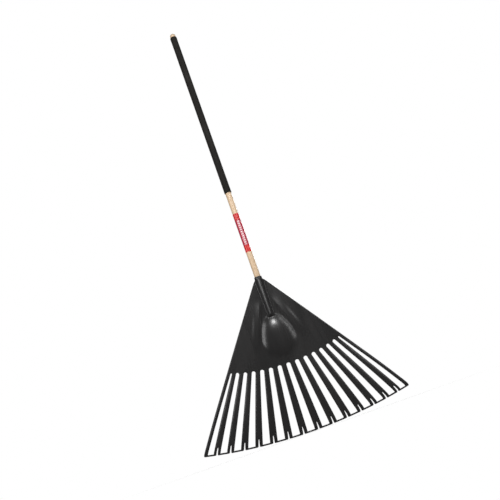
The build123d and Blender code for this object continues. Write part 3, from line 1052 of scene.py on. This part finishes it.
# %% Grip
GRIP_ROUND = 0.0022
GRIP_INSIDE = HANDLE_RADIUS + 0.00005
GRIP_OUTSIDE = (GRIP_HIGH.x - GRIP_LOW.x) / 2
GRIP_ROWS = 60
GRIP_BEAD = 0.00035
BEAD_START, BEAD_END = 0.004, 0.020


def grip_outline():
    """Closed outline of the sleeve's wall, a little fuller at both ends."""
    low, high = GRIP_LOW.z, GRIP_HIGH.z
    core = GRIP_OUTSIDE - GRIP_ROUND
    rows = []
    for n in range(1, GRIP_ROWS):
        height = low + GRIP_ROUND + (high - low - 2 * GRIP_ROUND) * n / GRIP_ROWS
        near = min(height - low, high - height)
        rows.append((GRIP_OUTSIDE - GRIP_BEAD * smooth(near, BEAD_START, BEAD_END), height))
    lower = arc(core, low + GRIP_ROUND, GRIP_ROUND, -90, 0)
    upper = arc(core, high - GRIP_ROUND, GRIP_ROUND, 0, 90)
    return [(GRIP_INSIDE, low)] + lower + rows + upper + [(GRIP_INSIDE, high)]


grip_form = turned_form(grip_outline(), TURN_STEPS, closed=True)
print("grip", len(grip_form.faces), "faces,", open_edges(grip_form), "open edges")
finish_piece("cushion_grip_sleeve", grip_form, GRIP_FOAM, "cushion_grip", 60)

# %% [markdown]
# ## Printed band
#
# A red film is wrapped round the bare wood and overlaps itself at the back. Its print is plain:
# red ends, a darker field between them and a row of pale blocks down the front. The print reads
# the piece's own coordinates, so the blocks stay where the film is.

# %% Film
FIELD_HALF = 0.052
BLOCK_PITCH, BLOCK_HALF_LENGTH = 0.0085, 0.0029
BLOCK_SIDES = (-0.0042, 0.0036)
PRINT_EDGE = 0.0003
BLOCK_MARGIN = (0.003, 0.0035)  # the last block fades out this far inside the field
WEAR_START, WEAR_END = 0.072, 0.078  # from the band's middle
LABEL_MIDDLE = (0.0, AXIS_Y, (LABEL_LOW.z + LABEL_HIGH.z) / 2)


def label_film():
    """Glossy red film with a darker field and generic pale blocks, worn at its ends."""
    finish = Finish("label_film")
    up = finish.along("Z", LABEL_MIDDLE)
    across = finish.along("X", LABEL_MIDDLE)
    front = finish.along("Y", LABEL_MIDDLE).ramp(0.0, -0.002)
    away = finish.node("ShaderNodeMath", {"operation": "ABSOLUTE"}, {0: up})
    field = away.ramp(FIELD_HALF + PRINT_EDGE, FIELD_HALF - PRINT_EDGE)
    wave = finish.node(
        "ShaderNodeMath", {"operation": "PINGPONG"}, {0: up + 1.0, 1: BLOCK_PITCH / 2}
    )
    block = wave.ramp(BLOCK_HALF_LENGTH + PRINT_EDGE, BLOCK_HALF_LENGTH - PRINT_EDGE)
    low, high = BLOCK_SIDES
    block = block * across.ramp(low - PRINT_EDGE, low + PRINT_EDGE)
    block = block * across.ramp(high + PRINT_EDGE, high - PRINT_EDGE) * front
    near, far = BLOCK_MARGIN
    block = block * away.ramp(FIELD_HALF - near, FIELD_HALF - far)
    tint = finish.noise(finish.place((40, 40, 12)), 1.0, 3.0)
    red = finish.mix((0.58, 0.016, 0.015, 1), (0.50, 0.012, 0.011, 1), tint.ramp(0.3, 0.7))
    print_dark = finish.mix((0.42, 0.022, 0.050, 1), (0.36, 0.018, 0.042, 1), tint.ramp(0.3, 0.7))
    colour = finish.mix(finish.mix(red, print_dark, field), (0.82, 0.62, 0.64, 1), block * 0.9)
    worn = finish.noise(finish.place((500, 500, 160)), 1.0, 4.0, 0.65).ramp(0.62, 0.74)
    worn = worn * away.ramp(WEAR_START, WEAR_END) * 0.7
    colour = finish.mix(colour, (0.62, 0.45, 0.33, 1), worn)
    wrinkle = finish.noise(finish.place((120, 120, 30)), 1.0, 3.0)
    skin = finish.bump(wrinkle, 0.00012, 0.35)
    rough = 0.26 + tint * 0.10 + worn * 0.4
    return finish.principled(
        Base_Color=colour, Roughness=rough, Normal=skin, Coat_Weight=0.4, Coat_Roughness=0.12
    )


LABEL_FILM = label_film()
print("made", LABEL_FILM.name)

# %% Band
FILM_INSIDE = HANDLE_RADIUS + 0.00002
FILM_OUTSIDE = (LABEL_HIGH.x - LABEL_LOW.x) / 2
FILM_ROWS = 26
FILM_STEPS = 96
OVERLAP_HALF = math.radians(14.0)
OVERLAP_STEP = 0.00016


def label_outline():
    """Closed outline of the film."""
    low, high = LABEL_LOW.z, LABEL_HIGH.z
    heights = [low + (high - low) * n / FILM_ROWS for n in range(FILM_ROWS + 1)]
    return [(FILM_OUTSIDE, h) for h in heights] + [(FILM_INSIDE, h) for h in reversed(heights)]


def overlap(form):
    """Lifts the film where it lies on itself, behind the handle."""
    for vertex in form.verts:
        spoke = Vector((vertex.co.x, vertex.co.y - AXIS_Y, 0))
        outside = spoke.length > (FILM_INSIDE + FILM_OUTSIDE) / 2
        if outside and spoke.angle(Vector((0, 1, 0))) < OVERLAP_HALF:
            vertex.co += spoke.normalized() * OVERLAP_STEP


label_form = turned_form(label_outline(), FILM_STEPS, closed=True)
overlap(label_form)
print("label", len(label_form.faces), "faces,", open_edges(label_form), "open edges")
finish_piece("label_band", label_form, LABEL_FILM, "handle_label", 40)

# %% [markdown]
# ## Screw
#
# One zinc-plated screw holds the head on the handle. Its shape is already right in the frame,
# slot and all, so it stays as it is and only gets its plating: a bright metal with the faint
# cloudiness of passivated zinc.


# %% Plating
def screw_zinc():
    """Zinc plating, cloudy and finely scratched."""
    finish = Finish("screw_zinc")
    cloud = finish.noise(finish.place(), 700.0, 3.0, 0.6)
    scratch = finish.noise(finish.place((300, 300, 5200)), 1.0, 2.0)
    colour = finish.mix((0.60, 0.61, 0.62, 1), (0.46, 0.46, 0.45, 1), cloud.ramp(0.35, 0.65))
    skin = finish.bump(scratch, 0.00004, 0.5)
    return finish.principled(
        Base_Color=colour, Metallic=1.0, Roughness=0.26 + cloud * 0.22, Normal=skin
    )


zinc = screw_zinc()
for material_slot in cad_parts["head_screw"].material_slots:
    material_slot.material = zinc
print("screw plated")
